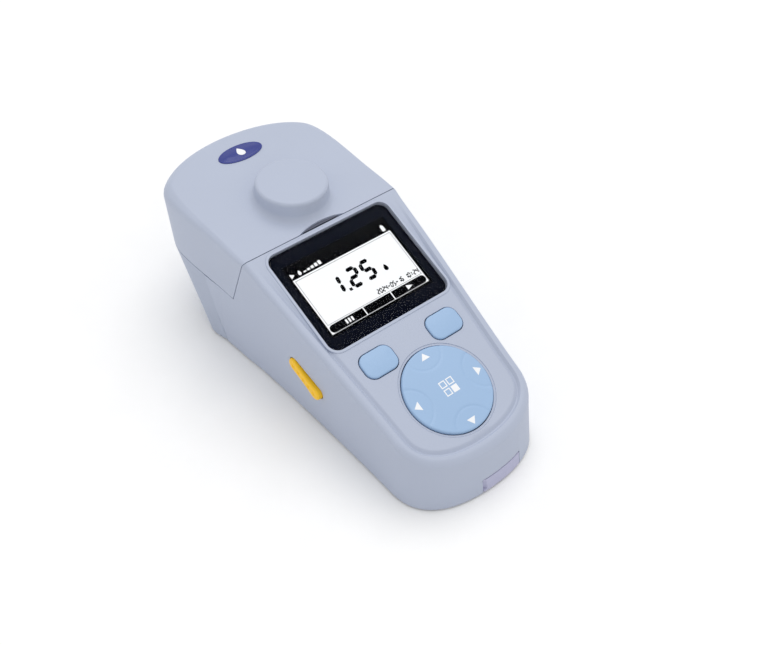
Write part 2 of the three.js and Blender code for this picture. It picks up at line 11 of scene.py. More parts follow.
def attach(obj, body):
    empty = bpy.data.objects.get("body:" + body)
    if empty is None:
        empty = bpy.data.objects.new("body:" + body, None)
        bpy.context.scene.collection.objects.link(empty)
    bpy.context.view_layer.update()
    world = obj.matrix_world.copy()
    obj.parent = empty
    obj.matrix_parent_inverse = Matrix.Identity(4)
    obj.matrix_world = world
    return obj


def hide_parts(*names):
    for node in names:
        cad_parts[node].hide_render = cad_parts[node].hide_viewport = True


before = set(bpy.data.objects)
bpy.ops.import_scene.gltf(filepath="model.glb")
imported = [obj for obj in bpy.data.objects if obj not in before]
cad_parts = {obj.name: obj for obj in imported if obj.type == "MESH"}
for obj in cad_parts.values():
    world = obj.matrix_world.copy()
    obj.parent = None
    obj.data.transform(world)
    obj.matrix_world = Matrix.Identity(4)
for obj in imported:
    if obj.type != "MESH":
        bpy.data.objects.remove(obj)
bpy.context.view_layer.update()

# ------------------------------------------------------------------ table top, camera and light
# The meter lies on a plain white surface under a bright even sky with one soft lamp overhead, and is
# looked down on from its front left. The camera's axes are unit vectors in the meter's own frame.
CAMERA_PLACE = Vector((-0.249, -0.3018, 0.430))
CAMERA_RIGHT = Vector((0.7680, -0.6393, 0.0395))
CAMERA_AHEAD = Vector((0.4643, 0.5133, -0.7218))

bpy.ops.object.select_all(action="DESELECT")
bpy.ops.object.camera_add()
camera = bpy.context.object
ahead = CAMERA_AHEAD.normalized()
across = (CAMERA_RIGHT - ahead * CAMERA_RIGHT.dot(ahead)).normalized()
upward = across.cross(ahead)
camera_turn = Matrix((across, upward, -ahead)).transposed().to_4x4()
camera.matrix_world = Matrix.Translation(CAMERA_PLACE) @ camera_turn
camera.data.lens = 53.84
camera.data.sensor_width = 36
camera.data.clip_start = 0.01
bpy.context.scene.camera = camera

bpy.ops.mesh.primitive_plane_add(size=6, location=(0, 0, 0))
table_top = bpy.context.object
table_top.name = "table_top"

world = bpy.data.worlds.new("even_sky")
world.use_nodes = True
world.node_tree.nodes["Background"].inputs["Color"].default_value = (1.0, 1.0, 1.0, 1)
world.node_tree.nodes["Background"].inputs["Strength"].default_value = 0.76
bpy.context.scene.world = world
bpy.context.scene.view_settings.view_transform = "Standard"

bpy.ops.object.light_add(type="SUN", rotation=(math.radians(-14), math.radians(16), 0))
lamp = bpy.context.object
lamp.data.energy = 1.08
lamp.data.angle = math.radians(50)


# ------------------------------------------------------------------ finishes
# Every finish is one Principled surface. Channel adds Math nodes for arithmetic on what varies over a
# surface; Finish.node adds any other node from its settings and the values or links of its sockets.
class Channel:
    def __init__(self, finish, socket):
        self.finish = finish
        self.socket = socket

    def combine(self, operation, first, second):
        node = self.finish.node("ShaderNodeMath", {"operation": operation}, {0: first, 1: second})
        return Channel(self.finish, node.outputs[0])

    def __radd__(self, other):
        return self.combine("ADD", other, self)

    def __mul__(self, other):
        return self.combine("MULTIPLY", self, other)

    def __gt__(self, other):
        return self.combine("GREATER_THAN", self, other)


class Finish:
    def __init__(self, name, roughness, metallic=0.0, ior_level=0.5):
        self.material = bpy.data.materials.new(name)
        self.material.use_nodes = True
        self.tree = self.material.node_tree
        self.surface = self.tree.nodes["Principled BSDF"]
        self.surface.inputs["Roughness"].default_value = roughness
        self.surface.inputs["Metallic"].default_value = metallic
        self.surface.inputs["Specular IOR Level"].default_value = ior_level
        self.place = self.node("ShaderNodeTexCoord").outputs["Object"]

    def node(self, kind, settings=None, sockets=None):
        made = self.tree.nodes.new(kind)
        for key, value in (settings or {}).items():
            setattr(made, key, value)
        for key, value in (sockets or {}).items():
            self.feed(made.inputs[key], value)
        return made

    def feed(self, target, value):
        if isinstance(value, Channel):
            value = value.socket
        if isinstance(value, bpy.types.NodeSocket):
            self.tree.links.new(value, target)
        elif isinstance(value, tuple) and len(value) == 3 and target.type == "RGBA":
            target.default_value = (*value, 1)
        else:
            target.default_value = value

    def noise(self, scale, detail=3.0, stretch=None):
        spot = self.place
        if stretch:
            spot = self.node("ShaderNodeMapping", {}, {"Vector": spot, "Scale": stretch}).outputs[0]
        made = self.node("ShaderNodeTexNoise", {}, {"Vector": spot, "Scale": scale, "Detail": detail})
        return Channel(self, made.outputs["Fac"])

    def between(self, share, low, high):
        made = self.node("ShaderNodeMix", {"data_type": "RGBA"}, {0: share, 6: low, 7: high})
        return made.outputs[2]

    def colour(self, value):
        self.feed(self.surface.inputs["Base Color"], value)

    def rough(self, value):
        self.feed(self.surface.inputs["Roughness"], value)

    def grain(self, height, depth):
        bump = self.node("ShaderNodeBump", {}, {"Height": height, "Distance": depth, "Strength": 1.0})
        self.feed(self.surface.inputs["Normal"], bump.outputs["Normal"])


def tint(colour, factor):
    return tuple(min(1.0, part * factor) for part in colour)


# Spark-eroded moulded plastic or rubber: a fine grain, and a faint cloudiness in colour and gloss.
def moulded(name, colour, roughness=0.48, grain_per_metre=2600, depth=0.00005, ior_level=0.45):
    finish = Finish(name, roughness, ior_level=ior_level)
    cloud = finish.noise(38, 2.0)
    finish.colour(finish.between(cloud, tint(colour, 0.975), tint(colour, 1.025)))
    finish.rough(roughness - 0.05 + cloud * 0.1)
    finish.grain(finish.noise(grain_per_metre, 2.0), depth)
    return finish.material


# Turned or rolled metal: fine lines along one direction and slightly uneven gloss.
def metal(name, colour, roughness, stretch):
    finish = Finish(name, roughness, metallic=1.0)
    lines = finish.noise(900, 2.0, stretch)
    finish.colour(finish.between(lines, tint(colour, 0.88), tint(colour, 1.08)))
    finish.rough(roughness - 0.06 + lines * 0.14)
    finish.grain(lines, 0.00001)
    return finish.material


table_finish = moulded("table_white", (0.96, 0.96, 0.96), roughness=0.7, grain_per_metre=300, ior_level=0.1)
table_top.data.materials.append(table_finish)


# ------------------------------------------------------------------ upper case
# One ABS moulding: the sloping panel with its raised rim and groove, and the side and front walls. It is
# screwed to the lower case from below, and cut away behind the display for the hood.
PANEL_ANGLE = math.radians(20)
PANEL_ORIGIN = Vector((0, -5.45, 59.9))
PANEL = Matrix.Translation(PANEL_ORIGIN) @ Matrix.Rotation(PANEL_ANGLE, 4, "X")
TAN = math.tan(PANEL_ANGLE)
COS = math.cos(PANEL_ANGLE)
SIN = math.sin(PANEL_ANGLE)
PARTING_SLOPE = 30.1
PARTING_Y = PANEL_ORIGIN.y + PARTING_SLOPE * COS
PARTING_Z = PANEL_ORIGIN.z + PARTING_SLOPE * SIN
FRONT_RIM_Y = -100
REAR_Y = 108.1
HALF_WIDTH = 45.7
FRONT_LEAN = 0.202
SIDE_LEAN = 0.0484
SIDE_LEAN_LEVEL = -0.0505
SIDE_LEAN_CURVE = 0.1338
SIDE_LEAN_FROM_Y = 20
SIDE_LEAN_OVER = 95
SIDE_LEAN_UNTIL = 0.3
REAR_LEAN_FROM_Y = 45
REAR_LEAN_UPPER = 0.22
REAR_LEAN_LOWER = 1.088
HOOD_REFERENCE_Z = 62
BASE_Z = 1.0
WALL = 2.6
SEAM = 0.3
HOOD_SEAM_Z = 38.5
EDGE = 2.6
FAR = 140

HALF_OUTLINE = (
    ((0, FRONT_RIM_Y), (20.9, FRONT_RIM_Y), (37, -93.4), (37.6, -77.2)),
    ((37.6, -77.2), (38.5, -55.4), (HALF_WIDTH, 7.1), (HALF_WIDTH, 40.9)),
    ((HALF_WIDTH, 40.9), (HALF_WIDTH, 59.2), (50.7, 84.4), (43.1, 92.5)),
    ((43.1, 92.5), (36.4, 99.7), (18.9, REAR_Y), (0, REAR_Y)),
)
OUTLINE_STEPS = (16, 20, 12, 16)


def half_outline():
    spots = []
    for curve, steps in zip(HALF_OUTLINE, OUTLINE_STEPS):
        a, b, c, d = (np.array(point, float) for point in curve)
        for step in range(0 if not spots else 1, steps + 1):
            t = step / steps
            s = 1 - t
            spot = s**3 * a + 3 * s * s * t * b + 3 * s * t * t * c + t**3 * d
            run = s * s * (b - a) + 2 * s * t * (c - b) + t * t * (d - c)
            run = run / np.linalg.norm(run)
            spots.append((spot[0], spot[1], run[1], -run[0]))
    return spots


right_half = half_outline()
left_half = [(-x, y, -nx, ny) for x, y, nx, ny in right_half[-2:0:-1]]
STATIONS = np.array(right_half + left_half)


def panel_height(y):
    return PANEL_ORIGIN.z + (y - PANEL_ORIGIN.y) * TAN


# The wall's outline at height z, drawn in by inset: flared at the front, waisted at the sides, and at the
# rear leaning in a little down to the hood's edge and tucked in steeply below it.
def wall_ring(z, inset=0.0, stations=STATIONS):
    x, y, nx, ny = stations.T
    z = np.broadcast_to(np.asarray(z, float), x.shape)
    reference = np.where(y < PARTING_Y, panel_height(y), HOOD_REFERENCE_Z)
    drop = reference - z
    along = np.minimum(SIDE_LEAN_UNTIL, (y - SIDE_LEAN_FROM_Y) / SIDE_LEAN_OVER)
    side = SIDE_LEAN_LEVEL + SIDE_LEAN * along + SIDE_LEAN_CURVE * along * along
    out = (side * nx * nx + np.where(ny < 0, FRONT_LEAN, 0) * ny * ny) * drop - inset
    share = np.maximum(0, (y - REAR_LEAN_FROM_Y) / (REAR_Y - REAR_LEAN_FROM_Y))
    hood_drop = np.minimum(drop, HOOD_REFERENCE_Z - HOOD_SEAM_Z)
    forward = (REAR_LEAN_UPPER * hood_drop + REAR_LEAN_LOWER * (drop - hood_drop)) * share
    return np.stack([x + nx * out, y + ny * out - forward, z], axis=1)


# Starts from a circle and extrudes its rim through the given rings, then closes both ends.
def ringed_solid(name, rings):
    bpy.ops.object.select_all(action="DESELECT")
    bpy.ops.mesh.primitive_circle_add(vertices=len(rings[0]), radius=1)
    piece = bpy.context.object
    piece.name = name
    for vertex, spot in zip(piece.data.vertices, rings[0]):
        vertex.co = spot
    bpy.ops.object.mode_set(mode="EDIT")
    bpy.ops.mesh.select_mode(type="VERT")
    bpy.ops.mesh.select_all(action="SELECT")
    for before, after in zip(rings, rings[1:]):
        bpy.ops.mesh.extrude_region_move()
        shape = bmesh.from_edit_mesh(piece.data)
        chosen = [vertex for vertex in shape.verts if vertex.select]
        spots = np.array([vertex.co for vertex in chosen])
        nearest = ((spots[:, None] - before[None]) ** 2).sum(axis=2).argmin(axis=1)
        for vertex, index in zip(chosen, nearest):
            vertex.co = after[index]
        bmesh.update_edit_mesh(piece.data)
    bpy.ops.mesh.select_all(action="DESELECT")
    bpy.ops.mesh.select_non_manifold()
    bpy.ops.mesh.edge_face_add()
    shape = bmesh.from_edit_mesh(piece.data)
    open_rims = [edge for edge in shape.edges if edge.is_boundary]
    if open_rims:
        bpy.ops.mesh.select_all(action="DESELECT")
        for edge in open_rims:
            edge.select = True
        bmesh.update_edit_mesh(piece.data)
        bpy.ops.mesh.edge_face_add()
    bpy.ops.mesh.select_all(action="SELECT")
    bpy.ops.mesh.normals_make_consistent(inside=False)
    bpy.ops.object.mode_set(mode="OBJECT")
    return piece


# A block bounded by the outer walls, drawn in by inset, between two heights.
def wall_block(name, inset, low, high):
    heights = [low, HOOD_SEAM_Z, high] if low < HOOD_SEAM_Z < high else [low, high]
    return ringed_solid(name, [wall_ring(height, inset) for height in heights])


# An outline in plan (or on the panel) pulled up into a slab.
def slab(name, outline, low, high):
    points = np.array(outline, float)
    floor = np.column_stack([points, np.full(len(points), low)])
    roof = np.column_stack([points, np.full(len(points), high)])
    return ringed_solid(name, [floor, roof])


def corner_outline(width, height, radius, steps=8):
    spots = []
    for corner, (sx, sy) in enumerate(((1, 1), (-1, 1), (-1, -1), (1, -1))):
        for step in range(steps + 1):
            angle = math.radians(90 * corner + 90 * step / steps)
            x = sx * (width / 2 - radius) + radius * math.cos(angle)
            y = sy * (height / 2 - radius) + radius * math.sin(angle)
            spots.append((x, y))
    return spots


def circle_outline(radius, count=64, x=0.0, y=0.0):
    turns = [math.tau * step / count for step in range(count)]
    return [(x + radius * math.cos(turn), y + radius * math.sin(turn)) for turn in turns]


# Rings of round section, for a turned piece: (radius, level) from one end to the other.
def turned_rings(profile, count, x=0.0, y=0.0):
    rings = []
    for radius, level in profile:
        outline = np.array(circle_outline(radius, count, x, y))
        rings.append(np.column_stack([outline, np.full(len(outline), level)]))
    return rings


# A side view outline in (y, z), pulled across the meter's whole width.
ACROSS = Matrix(((0, 0, 1, 0), (1, 0, 0, 0), (0, 1, 0, 0), (0, 0, 0, 1)))


def side_slab(name, outline):
    piece = slab(name, outline, -FAR, FAR)
    piece.data.transform(ACROSS)
    return piece


def box_block(name, low, high):
    bpy.ops.object.select_all(action="DESELECT")
    bpy.ops.mesh.primitive_cube_add(size=1)
    piece = bpy.context.object
    piece.name = name
    size = Vector(high) - Vector(low)
    middle = (Vector(high) + Vector(low)) / 2
    piece.data.transform(Matrix.Translation(middle) @ Matrix.Diagonal((*size, 1)))
    return piece


def on_panel(piece, x=0.0, slope=0.0):
    piece.data.transform(PANEL @ Matrix.Translation((x, slope, 0)))
    return piece


# A round bar across the meter at (y, z), from x0 to x1.
def bar_along_x(name, radius, x0, x1, y, z):
    piece = slab(name, circle_outline(radius, 40), x0, x1)
    piece.data.transform(Matrix.Translation((0, y, z)) @ ACROSS)
    return piece


def carve(piece, operation, *tools):
    for tool in tools:
        bpy.ops.object.select_all(action="DESELECT")
        bpy.context.view_layer.objects.active = piece
        piece.select_set(True)
        cutter = piece.modifiers.new("cutter", "BOOLEAN")
        cutter.operation = operation
        cutter.solver = "EXACT"
        cutter.object = tool
        bpy.ops.object.modifier_apply(modifier=cutter.name)
        bpy.data.objects.remove(tool)
    return piece


def cut(piece, *tools):
    return carve(piece, "DIFFERENCE", *tools)


def join(piece, *tools):
    return carve(piece, "UNION", *tools)


def common(piece, *tools):
    return carve(piece, "INTERSECT", *tools)


# Breaks every sharp edge by a small radius, as a mould does, and evens out the shading.
def soften(piece, width):
    bpy.ops.object.select_all(action="DESELECT")
    bpy.context.view_layer.objects.active = piece
    piece.select_set(True)
    bpy.ops.object.mode_set(mode="EDIT")
    bpy.ops.mesh.select_all(action="SELECT")
    bpy.ops.mesh.remove_doubles(threshold=0.02)
    bpy.ops.mesh.dissolve_degenerate(threshold=0.02)
    bpy.ops.mesh.select_all(action="DESELECT")
    bpy.ops.mesh.select_face_by_sides(number=4, type="GREATER")
    bpy.ops.mesh.quads_convert_to_tris(quad_method="BEAUTY", ngon_method="BEAUTY")
    bpy.ops.object.mode_set(mode="OBJECT")
    if width:
        edge = piece.modifiers.new("broken_edge", "BEVEL")
        edge.width = width
        edge.segments = 2
        edge.limit_method = "ANGLE"
        edge.angle_limit = math.radians(38)
        edge.use_clamp_overlap = False
        edge.harden_normals = False
        bpy.ops.object.modifier_apply(modifier=edge.name)
    bpy.ops.object.shade_smooth_by_angle(angle=math.radians(32))
    evened = piece.modifiers.new("even_shading", "WEIGHTED_NORMAL")
    evened.keep_sharp = True
    evened.weight = 80
    bpy.ops.object.modifier_apply(modifier=evened.name)
    return piece


# Brings a finished piece to metres and to the middle of the frame, gives it its finish and its body.
CENTRE_SHIFT = -1.8


def finished(piece, name, body, material, slot, *nodes):
    piece.name = name
    piece.data.name = name
    piece.data.transform(Matrix.Scale(0.001, 4) @ Matrix.Translation((0, CENTRE_SHIFT, 0)))
    piece.data.materials.clear()
    piece.data.materials.append(material)
    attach(piece, body)
    if nodes:
        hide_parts(*nodes)
    return piece


def hood_seam_y(z, shift=0.0):
    return PARTING_Y + (PARTING_Z - z) * TAN + shift / COS


def rear_seam_y(z):
    return 43 + 0.364 * z


UPPER_TOP_Z = HOOD_SEAM_Z - SEAM / 2
HOOD_BOTTOM_Z = HOOD_SEAM_Z + SEAM / 2

# The panel's edge, read from the wall inwards: how far in, how high above the panel, for the rounded
# corner, the raised rim and the groove inside it. The groove runs out before it reaches the hood.
RIM_RISE = 0.5
RIM_PROFILE = (
    (3.5, 0.5), (3.9, 0.34), (4.3, -0.12), (4.8, -0.66), (5.3, -0.85), (5.9, -0.68), (6.6, -0.24), (7.3, 0),
)


def groove_share(y):
    slope = (y - PANEL_ORIGIN.y) / COS
    share = np.clip((27 - slope) / 30, 0, 1)
    return share * share * (3 - 2 * share)


def panel_rings():
    rings = [wall_ring(BASE_Z)]
    for step in range(8):
        turn = math.radians(90) * step / 7
        drop = EDGE * (1 - math.sin(turn))
        ring = wall_ring(panel_height(STATIONS[:, 1]) - drop, EDGE * (1 - math.cos(turn)))
        ring[:, 2] = panel_height(ring[:, 1]) + RIM_RISE * groove_share(ring[:, 1]) - drop
        rings.append(ring)
    for inset, rise in RIM_PROFILE:
        ring = wall_ring(panel_height(STATIONS[:, 1]), inset)
        ring[:, 2] = panel_height(ring[:, 1]) + rise * groove_share(ring[:, 1])
        rings.append(ring)
    return rings


WINDOW_WIDTH = 70
WINDOW_HEIGHT = 55
WINDOW_RADIUS = 5
KEY_X = 19.6
KEY_SLOPE = -41.1
KEY_WIDTH = 17.9
KEY_HEIGHT = 12.6
KEY_RADIUS = 4.6
PAD_SLOPE = -68.2
PAD_RADIUS = 21.7
POWER_Y = -18.4
POWER_Z = 26.7
POWER_LENGTH = 23.8
POWER_WIDTH = 6.8
PORT_LEFT = -6
PORT_RIGHT = 19
PORT_TOP = 8.6
SOCKET_X = 6.5
SOCKET_Z = 5.3

# A slim bar with round ends through the left wall, along the panel's slope.
POWER_TURN = Matrix(((0, 0, 1, 0), (COS, -SIN, 0, 0), (SIN, COS, 0, 0), (0, 0, 0, 1)))


def power_bar(name, grow, x0, x1):
    width = POWER_WIDTH + grow
    piece = slab(name, corner_outline(POWER_LENGTH + grow, width, width / 2 - 0.01), x0, x1)
    piece.data.transform(Matrix.Translation((0, POWER_Y, POWER_Z)) @ POWER_TURN)
    return piece


SHELL_COLOUR = (0.445, 0.492, 0.610)
shell_plastic = moulded("shell_plastic", SHELL_COLOUR)

upper = ringed_solid("upper", panel_rings())
window_frame = slab("window_frame", corner_outline(WINDOW_WIDTH + 3.2, WINDOW_HEIGHT + 3.2, 6.6), -1, 0.4)
join(upper, on_panel(window_frame))
cavity = common(wall_block("cavity", WALL, -5, 92), side_slab("cavity_side", [
    (-FAR, -5),
    (80, -5),
    (80, UPPER_TOP_Z + 1),
    (hood_seam_y(UPPER_TOP_Z, -WALL), UPPER_TOP_Z + 1),
    (hood_seam_y(64, -WALL), 64),
    (hood_seam_y(64, -WALL) - 3, panel_height(hood_seam_y(64, -WALL) - 3) - 4.5),
    (-FAR, panel_height(-FAR) - 4.5),
]))
cut(upper, cavity)
key_hole = corner_outline(KEY_WIDTH + 0.8, KEY_HEIGHT + 0.8, 5)
cut(
    upper,
    on_panel(slab("window_pocket", corner_outline(WINDOW_WIDTH + 0.5, WINDOW_HEIGHT + 0.5, 5.25), -2.9, 6)),
    on_panel(slab("window_light", corner_outline(62, 46.5, 1.5, 3), -12, 6), 0, -2.2),
    on_panel(slab("pad_dish", circle_outline(PAD_RADIUS + 1.5, 96), -0.3, 6), 0, PAD_SLOPE),
    on_panel(slab("pad_hole", circle_outline(PAD_RADIUS + 0.4, 96), -12, 6), 0, PAD_SLOPE),
    on_panel(slab("left_hole", key_hole, -12, 6), -KEY_X, KEY_SLOPE),
    on_panel(slab("right_hole", key_hole, -12, 6), KEY_X, KEY_SLOPE),
    power_bar("power_hole", 0.6, -60, -30),
    box_block("optics_room", (-25.5, 24, 0), (25.5, 60, 58.4)),
)
port_skin = cut(wall_block("port_skin", -3, -2, 30), wall_block("port_floor", 1.9, -3, 31))
common(port_skin, box_block("port_box", (PORT_LEFT, -FAR, -1), (PORT_RIGHT, -60, PORT_TOP)))
cut(
    upper,
    port_skin,
    box_block("socket_room", (SOCKET_X - 5.6, -FAR, SOCKET_Z - 2.3), (SOCKET_X + 5, -88, SOCKET_Z + 2.3)),
)
common(upper, side_slab("upper_side", [
    (-FAR, BASE_Z - 0.5),
    (rear_seam_y(BASE_Z) - SEAM / 2, BASE_Z - 0.5),
    (rear_seam_y(UPPER_TOP_Z) - SEAM / 2, UPPER_TOP_Z),
    (hood_seam_y(UPPER_TOP_Z), UPPER_TOP_Z),
    (PARTING_Y - 0.8 * SIN, PARTING_Z + 0.8 * COS),
    (-FAR, PARTING_Z + 20),
]))
soften(upper, 0.22)
finished(upper, "upper_case_shell", "case", shell_plastic, "shell", "upper_case")


# ------------------------------------------------------------------ lower case
# One ABS moulding: the floor between the upper case's walls, and the cup that closes the back under the
# hood and carries the outer hinge knuckles.
HINGE_Y = 103.7
HINGE_Z = 38.5
KNUCKLE = 3.0
KNUCKLE_INNER = 11.6
KNUCKLE_OUTER = 19
FLOOR_Z = 3.5
CASE_SCREWS = ((-33.2, -58), (33.2, -58), (-35.7, 19), (35.7, 19))
FEET = ((-22, -82), (22, -82), (-30, 50), (30, 50))

base_plastic = moulded("base_plastic", (0.415, 0.462, 0.575), roughness=0.52)

lower = ringed_solid("lower", [
    wall_ring(BASE_Z, 0.9),
    wall_ring(BASE_Z + 0.25, 0.35),
    wall_ring(BASE_Z + 0.9, 0),
    wall_ring(HOOD_SEAM_Z, 0),
    wall_ring(60, 0),
])
common(lower, side_slab("rear_side", [
    (rear_seam_y(BASE_Z - 1) + SEAM / 2, BASE_Z - 1),
    (FAR, BASE_Z - 1),
    (FAR, UPPER_TOP_Z),
    (rear_seam_y(UPPER_TOP_Z) + SEAM / 2, UPPER_TOP_Z),
]))
cut(lower, wall_block("lower_room", WALL, FLOOR_Z, 61))
floor_outline = wall_ring(BASE_Z, WALL + 0.6)[:, :2]
join(lower, slab("floor_plate", floor_outline, BASE_Z, FLOOR_Z))
for side in (-1, 1):
    ends = sorted((side * (KNUCKLE_INNER + 0.4), side * KNUCKLE_OUTER))
    join(
        lower,
        box_block("knuckle_web", (ends[0], HINGE_Y - 6.7, HINGE_Z - 3.5), (ends[1], HINGE_Y, UPPER_TOP_Z)),
        bar_along_x("knuckle", KNUCKLE, ends[0], ends[1], HINGE_Y, HINGE_Z),
    )
cut(
    lower,
    bar_along_x("pin_hole", 1.7, -30, 30, HINGE_Y, HINGE_Z),
    bar_along_x("knuckle_gap", KNUCKLE + 0.5, -KNUCKLE_INNER - 0.4, KNUCKLE_INNER + 0.4, HINGE_Y, HINGE_Z),
    box_block("door_opening", (-22.4, -56.4, 0), (22.4, 15.4, 10)),
)
for x, y in CASE_SCREWS:
    cut(lower, slab("screw_recess", circle_outline(3.1, 32, x, y), 0, 2.7))
for x, y in FEET:
    cut(lower, slab("foot_recess", circle_outline(5.3, 40, x, y), 0, 2.0))
join(lower, box_block("door_ledge", (-9, -57.5, FLOOR_Z - 0.2), (9, -50, FLOOR_Z + 2.2)))
soften(lower, 0.22)
finished(lower, "lower_case_shell", "case", base_plastic, "base", "lower_case")


# ------------------------------------------------------------------ hood
# One ABS moulding that closes the back of the meter: a pillowed top with a raised round boss, which makes
# room for the vial's cap, a finger scallop in its front edge, and the middle hinge knuckle.
WELL_Y = 46.7
BOSS_RADIUS = 17.8
BOSS_TOP = 81
HOOD_FRONT_Y = PARTING_Y - 7
HOOD_TOP_Z = 73
FRONT_STEPS = 20


def crest_height(y):
    rising = HOOD_TOP_Z - (HOOD_TOP_Z - PARTING_Z) * ((58 - y) / (58 - PARTING_Y)) ** 2
    falling = HOOD_TOP_Z - 2.7 * ((y - 58) / 47) ** 3
    flat_front = np.full_like(y, PARTING_Z)
    return np.where(y > 58, falling, np.where(y > PARTING_Y, rising, flat_front))


def hood_height(x, y):
    crest = crest_height(y)
    pillow = np.maximum(0, crest - PARTING_Z)
    return crest - pillow * np.clip((x / 45.2) ** 2, 0, 1)


# The hood's own stations: the walls behind its front edge, closed by a straight run across the front.
HOOD_STATIONS = STATIONS[STATIONS[:, 1] > HOOD_FRONT_Y + 1]


def closed_in_front(ring, inset):
    share = (np.arange(FRONT_STEPS) + 1) / (FRONT_STEPS + 1)
    front = ring[-1][None] * (1 - share[:, None]) + ring[0][None] * share[:, None]
    front[:, 1] = HOOD_FRONT_Y + inset * 0.3
    return np.concatenate([ring, front])


def hood_ring(z):
    return closed_in_front(wall_ring(z, 0, HOOD_STATIONS), 0)


def corner_radius(y):
    share = np.clip((y - 40) / 55, 0, 1)
    return EDGE + 3.0 * share * share * (3 - 2 * share)


def hood_rings():
    edge = hood_ring(HOOD_REFERENCE_Z)
    radius = corner_radius(edge[:, 1])
    top = hood_height(edge[:, 0], edge[:, 1])
    top[len(HOOD_STATIONS):] = PARTING_Z
    station_top = top[:len(HOOD_STATIONS)]
    rings = [hood_ring(36), hood_ring(HOOD_SEAM_Z)]
    for step in range(9):
        turn = math.radians(90) * step / 8
        inset = radius * (1 - math.cos(turn))
        drop = radius * (1 - math.sin(turn))
        count = len(station_top)
        walls = wall_ring(station_top - drop[:count], inset[:count], HOOD_STATIONS)
        ring = closed_in_front(walls, inset[count:])
        ring[:, 2] = hood_height(ring[:, 0], ring[:, 1]) - drop
        rings.append(ring)
    rim = rings[-1]
    around = np.arctan2(rim[:, 1] - WELL_Y, rim[:, 0])
    foot = np.column_stack([np.cos(around), np.sin(around)]) * (BOSS_RADIUS + 3.4) + np.array([0, WELL_Y])
    for step in range(1, 13):
        share = step / 12
        spots = rim[:, :2] * (1 - share) + foot * share
        rings.append(np.column_stack([spots, hood_height(spots[:, 0], spots[:, 1])]))
    for radius_here, height in boss_profile():
        spots = np.column_stack([np.cos(around), np.sin(around)]) * radius_here + np.array([0, WELL_Y])
        ground = hood_height(spots[:, 0], spots[:, 1])
        level = np.where(height < 3.5, ground + height, BOSS_TOP - 8 + height)
        rings.append(np.column_stack([spots, level]))
    return rings


# From the boss's foot up: a hollow curve, the wall, a rounded shoulder and a flat top.
def boss_profile():
    profile = []
    for step in range(1, 7):
        turn = math.radians(90) * step / 6
        profile.append((BOSS_RADIUS + 3.4 - 3.2 * math.sin(turn), 3.2 * (1 - math.cos(turn))))
    profile.append((BOSS_RADIUS, 5.0))
    for step in range(7):
        turn = math.radians(90) * step / 6
        profile.append((BOSS_RADIUS - 0.1 - 1.7 * (1 - math.cos(turn)), 6.3 + 1.7 * math.sin(turn)))
    return profile


hood = ringed_solid("hood", hood_rings())
hood_room = ringed_solid("hood_room", [
    wall_ring(30, WALL),
    wall_ring(HOOD_SEAM_Z, WALL),
    wall_ring(58, WALL),
    wall_ring(64, 4.5),
    wall_ring(67.1, 9),
])
SCALLOP_RADIUS = 36.4
SCALLOP_Y = PARTING_Y + 2.8 - SCALLOP_RADIUS
cut(
    hood,
    hood_room,
    slab("boss_room", circle_outline(15.4, 64, 0, WELL_Y), 50, BOSS_TOP - 2.6),
    slab("scallop", circle_outline(SCALLOP_RADIUS, 160, 0, SCALLOP_Y), 60, 90),
)
common(hood, side_slab("hood_side", [
    (hood_seam_y(HOOD_BOTTOM_Z, SEAM), HOOD_BOTTOM_Z),
    (FAR, HOOD_BOTTOM_Z),
    (FAR, 120),
    (hood_seam_y(120, SEAM), 120),
]))
join(
    hood,
    box_block("hood_web", (-KNUCKLE_INNER, HINGE_Y - 3, HINGE_Z), (KNUCKLE_INNER, HINGE_Y + 1, HINGE_Z + 8)),
    bar_along_x("hood_knuckle", KNUCKLE, -KNUCKLE_INNER, KNUCKLE_INNER, HINGE_Y, HINGE_Z),
)
cut(hood, bar_along_x("hood_pin_hole", 1.7, -30, 30, HINGE_Y, HINGE_Z))
for side in (-1, 1):
    ends = sorted((side * (KNUCKLE_INNER + 0.1), side * (KNUCKLE_OUTER + 0.5)))
    cut(hood, bar_along_x("hood_gap", KNUCKLE + 0.5, ends[0], ends[1], HINGE_Y, HINGE_Z))
soften(hood, 0.22)
finished(hood, "lid_shell", "hood", shell_plastic, "shell", "lid")


# ------------------------------------------------------------------ badge, open mark and painted scallop shade on the hood
# A domed polycarbonate badge glued to the hood behind the boss, with a plain drop moulded on it,
# a dark grey sheet that paints the shade in the finger scallop's recess, and a small printed chevron
# that lies under the foot of the boss, so that it doesn't show.
BADGE_X = -1
BADGE_Y = 88.2
BADGE_HALF_LENGTH = 12.4
BADGE_HALF_WIDTH = 6.4
BADGE_PROFILE = (
    (0, -0.6), (0, 0.25), (0.12, 0.42), (0.35, 0.5), (0.9, 0.52), (1.1, 0.42), (1.5, 0.52), (4, 0.8),
)


# A closed ring of points on the hood's surface, raised above it.
def hood_patch(outline, rise):
    points = np.array(outline, float)
    return np.column_stack([points, hood_height(points[:, 0], points[:, 1]) + rise])


def oval_outline(half_x, half_y, count=72):
    turns = [math.tau * step / count for step in range(count)]
    return [(BADGE_X + half_x * math.cos(turn), BADGE_Y + half_y * math.sin(turn)) for turn in turns]


def badge_rings():
    rings = []
    for inset, rise in BADGE_PROFILE:
        rings.append(hood_patch(oval_outline(BADGE_HALF_LENGTH - inset, BADGE_HALF_WIDTH - inset), rise))
    return rings


def drop_outline(height, x, y, count=28):
    spots = []
    for step in range(count):
        turn = math.tau * step / count
        narrow = math.sin(turn / 2)
        spots.append((x + height * 0.42 * math.sin(turn) * narrow, y + height * 0.5 * math.cos(turn)))
    return spots


